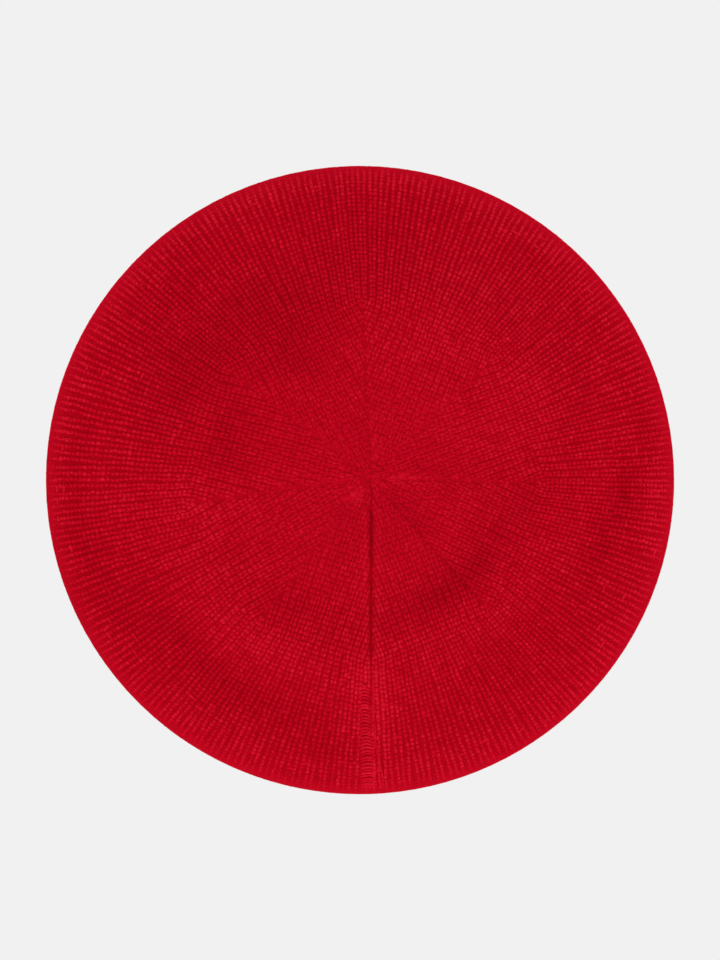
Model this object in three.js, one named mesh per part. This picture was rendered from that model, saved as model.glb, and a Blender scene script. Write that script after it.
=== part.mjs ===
// A knitted cashmere beret, lying on a table by itself, with its head opening down.
// Millimetres, +Z up. The origin is the middle of the face that it rests on, and the back seam runs along -Y.
// Turns are in degrees clockwise from the back, seen from above.

import * as THREE from 'three';

// Overall sizes
const beretRadius = 140;
const knitThickness = 2.4;
const sewingGap = 0.3;
const tableHeight = 0;

// Headband
const bandHeight = 16;
const bandInnerRadius = 81;
const bandFlare = 1;
const bandThickness = 2.4;
const bandEdgeRound = 0.6;
const wales = 148;
const walesPerRib = 4;
const ribDepth = 0.9;
const bandTopOuterRadius = bandInnerRadius + bandFlare + bandThickness + ribDepth / 2;

// The crown centre lies a little off the middle of the round outline
const crownCentre = new THREE.Vector2(4.9, 0.9);

// The right side of the knitting, from the crown centre out over the rim and back below to the band.
// A height below the table is pressed flat on it.
const crownSections = [
  { place: 'drawn-in centre', radius: 0, height: 34.8 },
  { place: 'round the centre', radius: 7, height: 35.8 },
  { place: 'inner crown', radius: 30, height: 36.4 },
  { place: 'foot of the ring', radius: 55, height: 37 },
  { place: 'ring over the band', radius: 79, height: 39.4 },
  { place: 'slope off the ring', radius: 98, height: 35.4 },
  { place: 'shallow valley', radius: 115, height: 30.6 },
  { place: 'top of the rim', radius: 127, height: 27.8 },
  { place: 'upper rim', radius: 136.6, height: 21.6 },
  { place: 'edge of the rim', radius: beretRadius, height: 13.2 },
  { place: 'lower rim', radius: 136.2, height: 4.8 },
  { place: 'where it meets the table', radius: 127, height: -0.6 },
  { place: 'where it leaves the table', radius: 109, height: -0.8 },
  { place: 'slope to the band', radius: 97, height: 8.6 },
  { place: 'above the band', radius: bandTopOuterRadius + 1.4, height: bandHeight + sewingGap },
  { place: 'opening edge', radius: bandInnerRadius + bandFlare, height: bandHeight + sewingGap },
];
const outerStepsPerSection = 2;

// Eight wedges meet at these lines of decreases, and the first one is the back seam
const decreaseTurns = [0, 38, 82, 127, 177, 226, 272, 318.5];
const columnsPerWedge = 9;
const decreaseDepth = 0.7;
const decreaseStart = 0.03;
const decreaseFade = [0.48, 0.6];

// The seam, seen across: the rows of stitches on each side of its groove, and how far they stand up
// on the crown, where the seam sinks in, and on the rim, where it stands proud
const seamRows = [
  { row: 'groove', offset: 0, riseOnCrown: -1.1, riseOnRim: -0.2 },
  { row: 'ridge', offset: 2.7, riseOnCrown: 0.5, riseOnRim: 0.8 },
  { row: 'foot', offset: 5.4, riseOnCrown: 0, riseOnRim: -0.3 },
];
const seamRisesFrom = [0.48, 0.62];
const seamNarrowsInside = 30;
const bandFade = [bandTopOuterRadius + 3, bandTopOuterRadius + 14];

// Soft swells and dents of the top: turn and spread in degrees, share and width as parts of the radius
const softRelief = [
  { place: 'dent on the right of the rim', turn: 270, spread: 15, share: 0.87, width: 0.055, rise: -1.8 },
  { place: 'dent on the left of the rim', turn: 60, spread: 28, share: 0.85, width: 0.06, rise: -1.6 },
  { place: 'dent by the right of the seam', turn: 318, spread: 16, share: 0.88, width: 0.05, rise: -1.0 },
  { place: 'swell right of the seam', turn: 335, spread: 20, share: 0.62, width: 0.09, rise: 1.2 },
  { place: 'swell left of the seam', turn: 28, spread: 22, share: 0.63, width: 0.09, rise: 0.9 },
  { place: 'hollow inside the right swell', turn: 325, spread: 24, share: 0.42, width: 0.09, rise: -1.0 },
  { place: 'sag of the front left', turn: 150, spread: 26, share: 0.64, width: 0.14, rise: -1.8 },
];
const reliefFade = [0.9, 1];

// The hollow rim is fuller in some places: waves round the rim, each as a part of the height there
const rimFullness = [
  { waves: 1, turn: 20, size: 0.04 },
  { waves: 2, turn: 150, size: 0.025 },
  { waves: 3, turn: 265, size: 0.02 },
];
const fullnessFrom = [0.62, 0.88];

// The welt of the back seam, inside the crown: half of its section, seen along the seam
const weltSection = [
  { across: 2.5, off: sewingGap },
  { across: 2.3, off: 1.2 },
  { across: 0.9, off: 1.8 },
];

const cashmereRed = 0xaf081a;
const cashmereRoughness = 0.95;

// How far x has come from low to high, from 0 to 1, with soft ends
function easeBetween(x, [low, high]) {
  return THREE.MathUtils.smoothstep(x, low, high);
}

// The way that a turn points, seen from above
function direction(turn) {
  const angle = THREE.MathUtils.degToRad(-90 - turn);
  return new THREE.Vector2(Math.cos(angle), Math.sin(angle));
}

// Where a straight wale that leaves the crown centre at this turn crosses the round outline
function outlinePoint(turn) {
  const way = direction(turn);
  const along = crownCentre.dot(way);
  const reach = Math.sqrt(along * along + beretRadius ** 2 - crownCentre.lengthSq()) - along;
  return way.multiplyScalar(reach).add(crownCentre);
}

// The sections as a smooth line of (radius, height), marked with the side that it lies on
function profileThrough(sections, stepsPerSection) {
  const knots = sections.map(({ radius, height }) => new THREE.Vector2(radius, height));
  const points = new THREE.SplineCurve(knots).getPoints(stepsPerSection * (knots.length - 1));
  const edge = points.reduce((best, point, i) => (point.x > points[best].x ? i : best), 0);
  return points.map((point, i) => {
    const before = points[Math.max(i - 1, 0)];
    const after = points[Math.min(i + 1, points.length - 1)];
    const along = after.clone().sub(before).normalize();
    return { radius: point.x, height: point.y, out: new THREE.Vector2(-along.y, along.x), onTop: i <= edge };
  });
}

// How much of the underside's relief is left near the band, where the knitting lies on it
function clearOfBand(profilePoint) {
  return profilePoint.onTop ? 1 : easeBetween(profilePoint.radius, bandFade);
}

// How far a row of the seam stands up. It is pulled flat at the outline.
function seamRise(seamRow, profilePoint) {
  const share = profilePoint.radius / beretRadius;
  const onRim = profilePoint.onTop ? easeBetween(share, seamRisesFrom) : 1;
  const rise = THREE.MathUtils.lerp(seamRow.riseOnCrown, seamRow.riseOnRim, onRim);
  return (1 - easeBetween(share, reliefFade)) * clearOfBand(profilePoint) * rise;
}

// The height at the rim as a part of its mean, at a turn
function fullness(turn, profilePoint) {
  const share = profilePoint.radius / beretRadius;
  const weight = profilePoint.onTop ? easeBetween(share, fullnessFrom) : clearOfBand(profilePoint);
  const swell = rimFullness.reduce((sum, wave) => {
    return sum + wave.size * Math.cos(THREE.MathUtils.degToRad(wave.waves * (turn - wave.turn)));
  }, 0);
  return 1 + weight * swell;
}

// The depth of a line of decreases, which runs from the centre to the ring
function decreaseRise(profilePoint) {
  const share = profilePoint.radius / beretRadius;
  if (!profilePoint.onTop || share < decreaseStart) {
    return 0;
  }
  return -decreaseDepth * (1 - easeBetween(share, decreaseFade));
}

// The soft swells and dents of the top at a turn and a share of the radius
function softRise(turn, profilePoint) {
  if (!profilePoint.onTop) {
    return 0;
  }
  const share = profilePoint.radius / beretRadius;
  const rises = softRelief.map((form) => {
    const away = THREE.MathUtils.euclideanModulo(turn - form.turn + 180, 360) - 180;
    return form.rise * Math.exp(-((away / form.spread) ** 2) - ((share - form.share) / form.width) ** 2);
  });
  return (1 - easeBetween(share, reliefFade)) * rises.reduce((sum, rise) => sum + rise, 0);
}

// The columns of one ring, clockwise from the seam's groove, each with its turn and its rise
function columnsOf(profilePoint) {
  const seamRadius = Math.max(profilePoint.radius, seamNarrowsInside);
  const seamTurns = seamRows.map(({ offset }) => THREE.MathUtils.radToDeg(Math.atan(offset / seamRadius)));
  const seamRises = seamRows.map((seamRow) => seamRise(seamRow, profilePoint));
  const footTurn = seamTurns.at(-1);
  const columns = seamTurns.slice(0, -1).map((turn, i) => ({ turn, rise: seamRises[i] }));
  decreaseTurns.forEach((line, wedge) => {
    const first = wedge === 0;
    const last = wedge === decreaseTurns.length - 1;
    const start = first ? footTurn : line;
    const end = last ? 360 - footTurn : decreaseTurns[wedge + 1];
    for (let step = 0; step < columnsPerWedge; step++) {
      const turn = THREE.MathUtils.lerp(start, end, step / columnsPerWedge);
      const rise = first ? seamRises.at(-1) : decreaseRise(profilePoint);
      columns.push({ turn, rise: step === 0 ? rise : 0 });
    }
  });
  for (let i = seamRows.length - 1; i > 0; i--) {
    columns.push({ turn: 360 - seamTurns[i], rise: seamRises[i] });
  }
  return columns;
}

// A point of the knitting, this far in from its right side, at a turn and a rise
function knitPoint(profilePoint, turn, rise, depth) {
  const { out, onTop } = profilePoint;
  const radius = profilePoint.radius + out.x * (rise - depth);
  const share = radius / beretRadius;
  const place = outlinePoint(turn).multiplyScalar(share);
  if (onTop) {
    place.addScaledVector(crownCentre, 1 - share);
  }
  const height = profilePoint.height * fullness(turn, profilePoint);
  const flattened = Math.max(height + out.y * rise, tableHeight);
  return new THREE.Vector3(place.x, place.y, flattened + softRise(turn, profilePoint) - out.y * depth);
}

// Two triangles for each step between two rings of points
function joinRings(indices, from, to, count) {
  for (let i = 0; i < count; i++) {
    const next = (i + 1) % count;
    indices.push(from + i, from + next, to + i);
    indices.push(from + next, to + next, to + i);
  }
}

function geometryFrom(points, indices) {
  const geometry = new THREE.BufferGeometry().setFromPoints(points);
  geometry.setIndex(indices);
  geometry.computeVertexNormals();
  return geometry;
}

// A closed skin over rings of points, with a point at each end
function skinBetweenPoles(firstPole, rings, lastPole) {
  const count = rings[0].length;
  const points = [firstPole, ...rings.flat(), lastPole];
  const lastRing = 1 + (rings.length - 1) * count;
  const indices = [];
  for (let i = 0; i < count; i++) {
    const next = (i + 1) % count;
    indices.push(0, 1 + next, 1 + i);
    indices.push(points.length - 1, lastRing + i, lastRing + next);
  }
  for (let ring = 0; ring < rings.length - 1; ring++) {
    joinRings(indices, 1 + ring * count, 1 + (ring + 1) * count, count);
  }
  return geometryFrom(points, indices);
}

// A closed skin over rings of points, where the last ring meets the first
function skinRoundRing(rings) {
  const count = rings[0].length;
  const indices = [];
  rings.forEach((ring, i) => {
    joinRings(indices, i * count, ((i + 1) % rings.length) * count, count);
  });
  return geometryFrom(rings.flat(), indices);
}

function knitMesh(name, geometry) {
  const material = new THREE.MeshStandardMaterial({
    color: cashmereRed,
    roughness: cashmereRoughness,
    metalness: 0,
  });
  const mesh = new THREE.Mesh(geometry, material);
  mesh.name = name;
  return mesh;
}

// Top, rim and underside in one piece of plain knitting: its right side out, its wrong side back in
function makeCrown() {
  const rightSide = profileThrough(crownSections, outerStepsPerSection);
  const wrongSide = profileThrough(crownSections, 1).reverse();
  const rightRings = rightSide.slice(1).map((point) => {
    return columnsOf(point).map(({ turn, rise }) => knitPoint(point, turn, rise, 0));
  });
  const wrongRings = wrongSide.slice(0, -1).map((point) => {
    return columnsOf(point).map(({ turn }) => knitPoint(point, turn, 0, knitThickness));
  });
  const centre = rightSide[0].height;
  const rightPole = new THREE.Vector3(crownCentre.x, crownCentre.y, centre);
  const wrongPole = new THREE.Vector3(crownCentre.x, crownCentre.y, centre - knitThickness);
  return knitMesh('crown', skinBetweenPoles(rightPole, [...rightRings, ...wrongRings], wrongPole));
}

// Two wales stand out and two lie back, so each side of the band shows ribs
function ribShift(wale) {
  const outwards = wale % walesPerRib < walesPerRib / 2;
  return outwards ? ribDepth / 2 : -ribDepth / 2;
}

function makeHeadband() {
  const outline = [
    { height: bandHeight, inset: bandEdgeRound },
    { height: bandHeight - bandEdgeRound, inset: 0 },
    { height: bandEdgeRound, inset: 0 },
    { height: tableHeight, inset: bandEdgeRound },
  ];
  const flareAt = (height) => bandInnerRadius + bandFlare * (height / bandHeight);
  const outerFace = outline.map(({ height, inset }) => {
    return { height, radius: flareAt(height) + bandThickness - inset };
  });
  const innerFace = outline.map(({ height, inset }) => ({ height, radius: flareAt(height) + inset }));
  const rings = [...outerFace, ...innerFace.reverse()].map(({ height, radius }) => {
    return Array.from({ length: wales }, (_, wale) => {
      const spot = direction((360 * wale) / wales).multiplyScalar(radius + ribShift(wale));
      return new THREE.Vector3(spot.x, spot.y, height);
    });
  });
  return knitMesh('headband', skinRoundRing(rings));
}

// The joined edges of the knitting, folded to its wrong side along the seam
function makeBackSeam() {
  const stations = profileThrough(crownSections, 1).slice(1, -1);
  const middle = stations.map((point) => knitPoint(point, 0, 0, knitThickness));
  const leftHalf = weltSection.map(({ across, off }) => ({ across: -across, off }));
  const section = [...leftHalf, ...weltSection.toReversed()];
  const rings = middle.map((point, i) => {
    const before = middle[Math.max(i - 1, 0)];
    const after = middle[Math.min(i + 1, middle.length - 1)];
    const along = after.clone().sub(before).normalize();
    const across = new THREE.Vector3(1, 0, 0);
    const inwards = new THREE.Vector3().crossVectors(along, across).negate().normalize();
    return section.map((corner) => {
      return point.clone().addScaledVector(across, corner.across).addScaledVector(inwards, corner.off);
    });
  });
  return knitMesh('back_seam', skinBetweenPoles(middleOf(rings[0]), rings, middleOf(rings.at(-1))));
}

function middleOf(ring) {
  return ring.reduce((sum, point) => sum.add(point), new THREE.Vector3()).divideScalar(ring.length);
}

const group = new THREE.Group();
group.add(makeCrown(), makeHeadband(), makeBackSeam());

export default group;
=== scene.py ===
import math

import bpy
import numpy as np
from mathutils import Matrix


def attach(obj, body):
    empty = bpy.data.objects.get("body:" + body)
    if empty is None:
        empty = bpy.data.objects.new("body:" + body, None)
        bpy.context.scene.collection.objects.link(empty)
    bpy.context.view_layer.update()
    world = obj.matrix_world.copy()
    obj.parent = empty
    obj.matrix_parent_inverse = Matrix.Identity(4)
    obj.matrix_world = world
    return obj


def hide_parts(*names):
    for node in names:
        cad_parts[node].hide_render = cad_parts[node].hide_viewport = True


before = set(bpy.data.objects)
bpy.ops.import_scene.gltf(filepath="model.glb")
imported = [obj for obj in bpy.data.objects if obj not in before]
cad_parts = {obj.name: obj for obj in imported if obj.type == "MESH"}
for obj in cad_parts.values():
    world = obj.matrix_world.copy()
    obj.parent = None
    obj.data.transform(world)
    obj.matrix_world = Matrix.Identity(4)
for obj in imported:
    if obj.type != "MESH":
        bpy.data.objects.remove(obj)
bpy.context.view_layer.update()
scene = bpy.context.scene

# Camera
# A camera far above the beret looks straight down on it, with the back seam at the bottom of the
# picture. Its view is measured at the height where the rim is widest.
CAMERA_DISTANCE = 3.0
VIEW_HEIGHT = 0.4273
WIDEST_AT = 0.0132
SENSOR_WIDTH = 36
FARTHEST_SEEN = 20
camera = bpy.data.objects.new("camera", bpy.data.cameras.new("camera"))
camera.location = (0, 0, WIDEST_AT + CAMERA_DISTANCE)
camera.data.sensor_width = SENSOR_WIDTH
camera.data.lens = SENSOR_WIDTH * CAMERA_DISTANCE / VIEW_HEIGHT
camera.data.clip_end = FARTHEST_SEEN
scene.collection.objects.link(camera)
scene.camera = camera
scene.view_settings.view_transform = "Standard"


# Crown wedges
# The flat top of the beret, in eight wedges of plain knitting that narrow to the crown centre. It is
# one piece of soft cashmere knitting with the slope, the rim and the underside, brushed on the outside.

# Shape of the crown
# Lengths are in millimetres until a mesh is made, and turns are in degrees clockwise from the back
# seam, seen from above. A place on the knitting is (along, turn, lift): how far it is along the profile
# from the crown centre, its turn, and how far it stands off the surface. The profile is the right side
# of the crown, from its centre over the rim and back below to the band, as (radius, height). A height
# below the table is pressed flat on it.
METRES = 0.001
BERET_RADIUS = 140.0
CROWN_CENTRE = np.array([4.9, 0.9])
PROFILE_KNOTS = np.array([
    (0, 34.8), (7, 35.8), (30, 36.4), (55, 37), (79, 39.4), (98, 35.4), (115, 30.6), (127, 27.8),
    (136.6, 21.6), (140, 13.2), (136.2, 4.8), (127, -0.6), (109, -0.8), (97, 8.6), (86.25, 16.3),
    (82, 16.3),
])
STEPS_BETWEEN_KNOTS = 40
LEAST_RADIUS = 1.0


def smooth_line(knots, steps):
    """Points of an even Catmull-Rom line through the knots."""
    ends = np.vstack([knots[:1], knots, knots[-1:]])
    t = np.linspace(0, 1, steps, endpoint=False)[:, None]
    parts = []
    for before, start, end, after in zip(ends, ends[1:], ends[2:], ends[3:]):
        leave = (end - before) / 2
        arrive = (after - start) / 2
        cubic = 2 * start - 2 * end + leave + arrive
        square = -3 * start + 3 * end - 2 * leave - arrive
        parts.append(cubic * t**3 + square * t**2 + leave * t + start)
    return np.vstack([*parts, knots[-1:]])


profile = smooth_line(PROFILE_KNOTS, STEPS_BETWEEN_KNOTS)
profile_way = np.gradient(profile, axis=0)
profile_way /= np.linalg.norm(profile_way, axis=1, keepdims=True)
profile_along = np.append(0, np.cumsum(np.linalg.norm(np.diff(profile, axis=0), axis=1)))
edge_index = int(np.argmax(profile[:, 0]))
EDGE = profile_along[edge_index]
END = profile_along[-1]


def radius_at(along):
    return np.interp(along, profile_along, profile[:, 0])


def along_at(radius):
    """How far along the profile the top reaches this radius."""
    return np.interp(radius, profile[: edge_index + 1, 0], profile_along[: edge_index + 1])


def rim_reach(way_x, way_y):
    """How far the rim is from the crown centre in a direction."""
    inner = CROWN_CENTRE[0] * way_x + CROWN_CENTRE[1] * way_y
    return np.sqrt(inner**2 + BERET_RADIUS**2 - CROWN_CENTRE @ CROWN_CENTRE) - inner


def ease(x, low, high):
    """How far x has come from low to high, from 0 to 1, with soft ends."""
    t = np.clip((x - low) / (high - low), 0, 1)
    return t * t * (3 - 2 * t)


def turn_gap(turn, other):
    return (turn - other + 180) % 360 - 180


# Back seam in the crown
# The seam pulls the top in to a narrow groove, and stands up a little on the rim and below.
SEAM_OFFSETS = (0, 0.4, 1.0, 2.4, 5.4)
SEAM_ON_CROWN = (-1.2, -0.85, -0.05, 1.1, 0)
SEAM_ON_RIM = (0.7, 0.75, 0.8, 0.7, 0)
SEAM_RISES_FROM = (0.54, 0.68)
SEAM_BEGINS = (11, 16)
SEAM_SHALLOWER_FROM = (32, 46)
SEAM_SHALLOWEST = 0.6
SEAM_SLIT = 0.32
SEAM_WIDEST_TURN = 60


def seam_offset(radius, turn):
    """How far a place is from the seam's line."""
    near = np.clip(turn_gap(turn, 0), -SEAM_WIDEST_TURN, SEAM_WIDEST_TURN)
    return radius * np.abs(np.tan(np.radians(near)))


def groove_at(radius):
    """How deep the seam lies at a place of the crown, from 0 to 1."""
    shallower = 1 - (1 - SEAM_SHALLOWEST) * ease(radius, *SEAM_SHALLOWER_FROM)
    return ease(radius, *SEAM_BEGINS) * shallower


def beside_seam(radius, turn, side):
    """Keeps places of the first wedge (side 1) and of the last one (side -1) on their side of the seam."""
    slit = np.degrees(SEAM_SLIT / np.maximum(radius, LEAST_RADIUS)) * ease(radius, *SEAM_BEGINS)
    gap = turn_gap(turn, 0)
    gap = np.where(side > 0, np.maximum(gap, slit), np.where(side < 0, np.minimum(gap, -slit), gap))
    return gap % 360


# Lines of decreases
# The wedges meet in lines that lie a little deeper, because two stitches are knitted together there.
LINES = np.array([0, 38, 82, 127, 177, 226, 272, 318.5, 360])
LINE_DEPTHS = {38: 0.5, 82: 0.4, 127: 0.4, 177: 0.9, 226: 0.4, 272: 0.4, 318.5: 1.1}
LINE_WIDTH = 1.0
LINE_START = (0.02, 0.07)
LINE_FADE = (0.46, 0.6)


def lines_at(radius, turn):
    """How deep the lines of decreases lie at a place of the top."""
    share = radius / BERET_RADIUS
    depth = 0
    for line, line_depth in LINE_DEPTHS.items():
        off = radius * np.sin(np.radians(np.clip(turn_gap(turn, line), -90, 90)))
        depth = depth + line_depth * np.exp(-((off / LINE_WIDTH) ** 2))
    return depth * ease(share, *LINE_START) * (1 - ease(share, *LINE_FADE))


# Soft swells and dents
# Those of the top are (turn, spread, share of the radius, its width, rise). The hollow rim is fuller in
# some places: (waves round the rim, turn, size).
SOFT_RELIEF = [
    (322, 34, 0.34, 0.06, -2.4),
    (322, 36, 0.49, 0.06, 2.1),
    (280, 24, 0.55, 0.07, 1.8),
    (15, 26, 0.40, 0.06, -0.9),
    (15, 30, 0.57, 0.07, 1.6),
    (40, 26, 0.74, 0.05, -1.8),
    (40, 32, 0.90, 0.05, 1.1),
    (78, 24, 0.80, 0.05, -1.6),
    (280, 18, 0.84, 0.04, -1.5),
    (310, 24, 0.78, 0.06, -0.5),
    (345, 20, 0.8, 0.06, -0.8),
    (330, 40, 0.92, 0.04, 0.8),
    (140, 34, 0.42, 0.10, 2.6),
    (138, 30, 0.74, 0.10, -2.8),
    (175, 26, 0.70, 0.10, -1.9),
    (235, 34, 0.25, 0.10, -1.1),
    (235, 34, 0.60, 0.12, 2.4),
]
RIM_WAVES = [(1, 20, 0.04), (2, 150, 0.025), (3, 265, 0.02)]
FULLNESS_FROM = (0.62, 0.88)
BAND_FADE = (87.85, 98.85)
RELIEF_FADE = (0.9, 1)


def soft_areas(areas, share, turn):
    """The sum of soft areas at a place of the top."""
    return sum(
        amount * np.exp(-((turn_gap(turn, at) / spread) ** 2) - ((share - place) / width) ** 2)
        for at, spread, place, width, amount in areas
    )


def rise_at(radius, turn, on_top):
    """How far the seam and the lines of decreases lift or sink the surface along its normal."""
    share = radius / BERET_RADIUS
    off_seam = seam_offset(radius, turn)
    on_rim = np.where(on_top, ease(share, *SEAM_RISES_FROM), 1)
    crown = np.interp(off_seam, SEAM_OFFSETS, SEAM_ON_CROWN)
    rim = np.interp(off_seam, SEAM_OFFSETS, SEAM_ON_RIM)
    clear = np.where(on_top, 1, ease(radius, *BAND_FADE))
    crown = crown * groove_at(radius)
    rise = (1 - ease(share, *RELIEF_FADE)) * clear * ((1 - on_rim) * crown + on_rim * rim)
    return rise - np.where(on_top, lines_at(radius, turn), 0)


def on_knitting(along, turn, lift):
    """The points in metres at these places on the knitting."""
    on_top = along <= EDGE
    base_radius = radius_at(along)
    out_radius = np.interp(along, profile_along, -profile_way[:, 1])
    out_height = np.interp(along, profile_along, profile_way[:, 0])
    rise = rise_at(base_radius, turn, on_top)
    share = (base_radius + out_radius * (rise + lift)) / BERET_RADIUS
    angle = np.radians(-90 - turn)
    way_x, way_y = np.cos(angle), np.sin(angle)
    reach = rim_reach(way_x, way_y)
    centre_weight = np.where(on_top, 1, share)
    x = way_x * reach * share + CROWN_CENTRE[0] * centre_weight
    y = way_y * reach * share + CROWN_CENTRE[1] * centre_weight
    base_share = base_radius / BERET_RADIUS
    swell = sum(size * np.cos(np.radians(waves * (turn - at))) for waves, at, size in RIM_WAVES)
    weight = np.where(on_top, ease(base_share, *FULLNESS_FROM), ease(base_radius, *BAND_FADE))
    height = np.interp(along, profile_along, profile[:, 1]) * (1 + weight * swell)
    soft = soft_areas(SOFT_RELIEF, base_share, turn)
    soft = np.where(on_top, soft * (1 - ease(base_share, *RELIEF_FADE)), 0)
    z = np.maximum(height + out_height * rise, 0) + soft + out_height * lift
    return np.stack([x, y, z], axis=-1) * METRES


# Painted light and shade
# Soft patches of painted light and painted shade on the top, where its slopes would catch more or less
# light, a ring of painted sheen near the outline, and a few lighter and darker spots of the wool's mottle
# near the
# crown centre: (turn, spread, share of the radius, its width, how much lighter).
SOFT_PAINTED_LIGHT_AND_MOTTLE = [
    (0, 360, 0.0, 0.4, -0.16),
    (122, 18, 0.66, 0.12, -0.58),
    (153, 22, 0.54, 0.15, -0.66),
    (148, 8, 0.42, 0.06, -0.35),
    (105, 16, 0.45, 0.08, -0.65),
    (175, 26, 0.78, 0.14, -0.3),
    (132, 10, 0.83, 0.04, -0.35),
    (140, 20, 0.88, 0.07, -0.1),
    (235, 28, 0.42, 0.16, 0.34),
    (225, 14, 0.44, 0.06, -0.35),
    (240, 12, 0.6, 0.06, 0.25),
    (205, 25, 0.75, 0.1, 0.18),
    (85, 22, 0.42, 0.14, 0.1),
    (80, 14, 0.56, 0.07, 0.15),
    (325, 22, 0.44, 0.05, -0.82),
    (300, 14, 0.46, 0.06, -0.18),
    (278, 12, 0.55, 0.06, -0.35),
    (260, 12, 0.66, 0.06, -0.27),
    (245, 12, 0.77, 0.06, -0.13),
    (35, 12, 0.47, 0.06, -0.4),
    (29, 16, 0.6, 0.06, 0.15),
    (42, 24, 0.77, 0.07, -0.7),
    (65, 16, 0.88, 0.05, -0.35),
    (84, 14, 0.91, 0.04, -0.45),
    (8, 10, 0.86, 0.05, -0.3),
    (255, 14, 0.84, 0.05, 0.17),
    (262, 7, 0.91, 0.035, -0.5),
    (273, 8, 0.83, 0.035, -0.8),
    (285, 8, 0.78, 0.04, -0.65),
    (272, 8, 0.92, 0.025, 0.4),
    (325, 30, 0.74, 0.1, -0.4),
    (190, 110, 0.96, 0.04, 0.6),
    (0, 5, 0.7, 0.14, 0.75),
    (0, 3, 0.84, 0.14, 0.45),
    (270, 10, 0.1, 0.07, 0.7),
    (262, 6, 0.16, 0.06, -0.4),
    (40, 20, 0.07, 0.03, 0.7),
    (312, 5, 0.16, 0.1, -0.6),
    (90, 12, 0.1, 0.05, 0.3),
    (185, 10, 0.12, 0.06, 0.3),
    (165, 8, 0.16, 0.05, -0.4),
]
# Painted shade in the seam's groove and painted light on the ridges beside it, by offset from the seam;
# painted shade along the lines of decreases; and the heights between which the painted light and shade
# come in on the top
SEAM_PAINTED_SHADE_AND_LIGHT = (-0.85, -0.6, -0.05, 0.4, 0)
LINE_PAINTED_SHADE = 0.22
PAINTED_LIGHT_HEIGHTS = (13, 19)


def painted_light_at(points):
    """How much painted light (above zero) and painted shade (below zero) points of the top get, from their
    places in metres: the soft patches, painted shade in the seam's groove with painted light on its
    ridges, and painted shade along the lines of decreases.
    """
    x, y, height = np.moveaxis(points / METRES, -1, 0)
    x, y = x - CROWN_CENTRE[0], y - CROWN_CENTRE[1]
    angle = np.arctan2(y, x)
    turn = (-90 - np.degrees(angle)) % 360
    share = np.hypot(x, y) / rim_reach(np.cos(angle), np.sin(angle))
    radius = share * BERET_RADIUS
    groove = groove_at(radius) * (1 - ease(share, *SEAM_RISES_FROM))
    seam = groove * np.interp(seam_offset(radius, turn), SEAM_OFFSETS, SEAM_PAINTED_SHADE_AND_LIGHT)
    painted_here = soft_areas(SOFT_PAINTED_LIGHT_AND_MOTTLE, share, turn) + seam - LINE_PAINTED_SHADE * lines_at(radius, turn)
    return painted_here * ease(height, *PAINTED_LIGHT_HEIGHTS)


# Strands of yarn
# Every stitch is made of half-round strands. Each point of a mesh keeps one number of painted light and
# shade: how far up its strand it is, with the painted light and shade of the top and a random tone added.
# The colour is lighter where it is high: painted light on the tops of the strands, painted shade on their
# sides and in the gaps.
YARN_SEED = 148
# Painted shade on the sides of a strand, against 1 on its top
SIDE_PAINTED_SHADE = 0.35
SHORTEST = 1e-9
dice = np.random.default_rng(YARN_SEED)


def grid_faces(rows, columns, wrap_rows=False, wrap_columns=False):
    """The faces of a grid of points, row by row. A first row and column edge turn towards the lift."""
    row = np.arange(rows if wrap_rows else rows - 1)[:, None]
    column = np.arange(columns if wrap_columns else columns - 1)[None, :]
    next_row = (row + 1) % rows
    next_column = (column + 1) % columns
    corners = [(row, column), (next_row, column), (next_row, next_column), (row, next_column)]
    return np.stack([r * columns + c for r, c in corners], axis=-1).reshape(-1, 4)


def strand_faces(count, stations, sides, inwards=False):
    """The faces of that many strands."""
    one = grid_faces(stations, sides)
    if inwards:
        one = one[:, ::-1]
    return (np.arange(count)[:, None, None] * (stations * sides) + one).reshape(-1, 4)


def yarns(across, along, lift, half_width, depth, sides=4):
    """Half-round strands of yarn along their centre lines: arrays of (strand, station, side).
    Depth below zero makes a strand that bulges inwards. The last array is the painted light and shade of
    each
    point: how far up its strand it is, from 0 to 1, lighter on the top and darker on the sides, and, for
    strands that bulge outwards, darker where they lie sunk below their highest point."""
    step_across = np.gradient(across, axis=1)
    step_along = np.gradient(along, axis=1)
    length = np.hypot(step_across, step_along) + SHORTEST
    angle = np.linspace(-math.pi / 2, math.pi / 2, sides + 1)
    side = half_width[..., None] * np.sin(angle)
    sunk = np.abs(lift - np.max(lift, axis=1, keepdims=True)) if depth > 0 else np.zeros(lift.shape)
    painted_light_and_tone = (SIDE_PAINTED_SHADE + (1 - SIDE_PAINTED_SHADE) * np.cos(angle)) * np.exp(-sunk)[..., None]
    return (
        across[..., None] - (step_along / length)[..., None] * side,
        along[..., None] + (step_across / length)[..., None] * side,
        lift[..., None] - depth * (1 - np.cos(angle)),
        painted_light_and_tone,
    )


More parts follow.
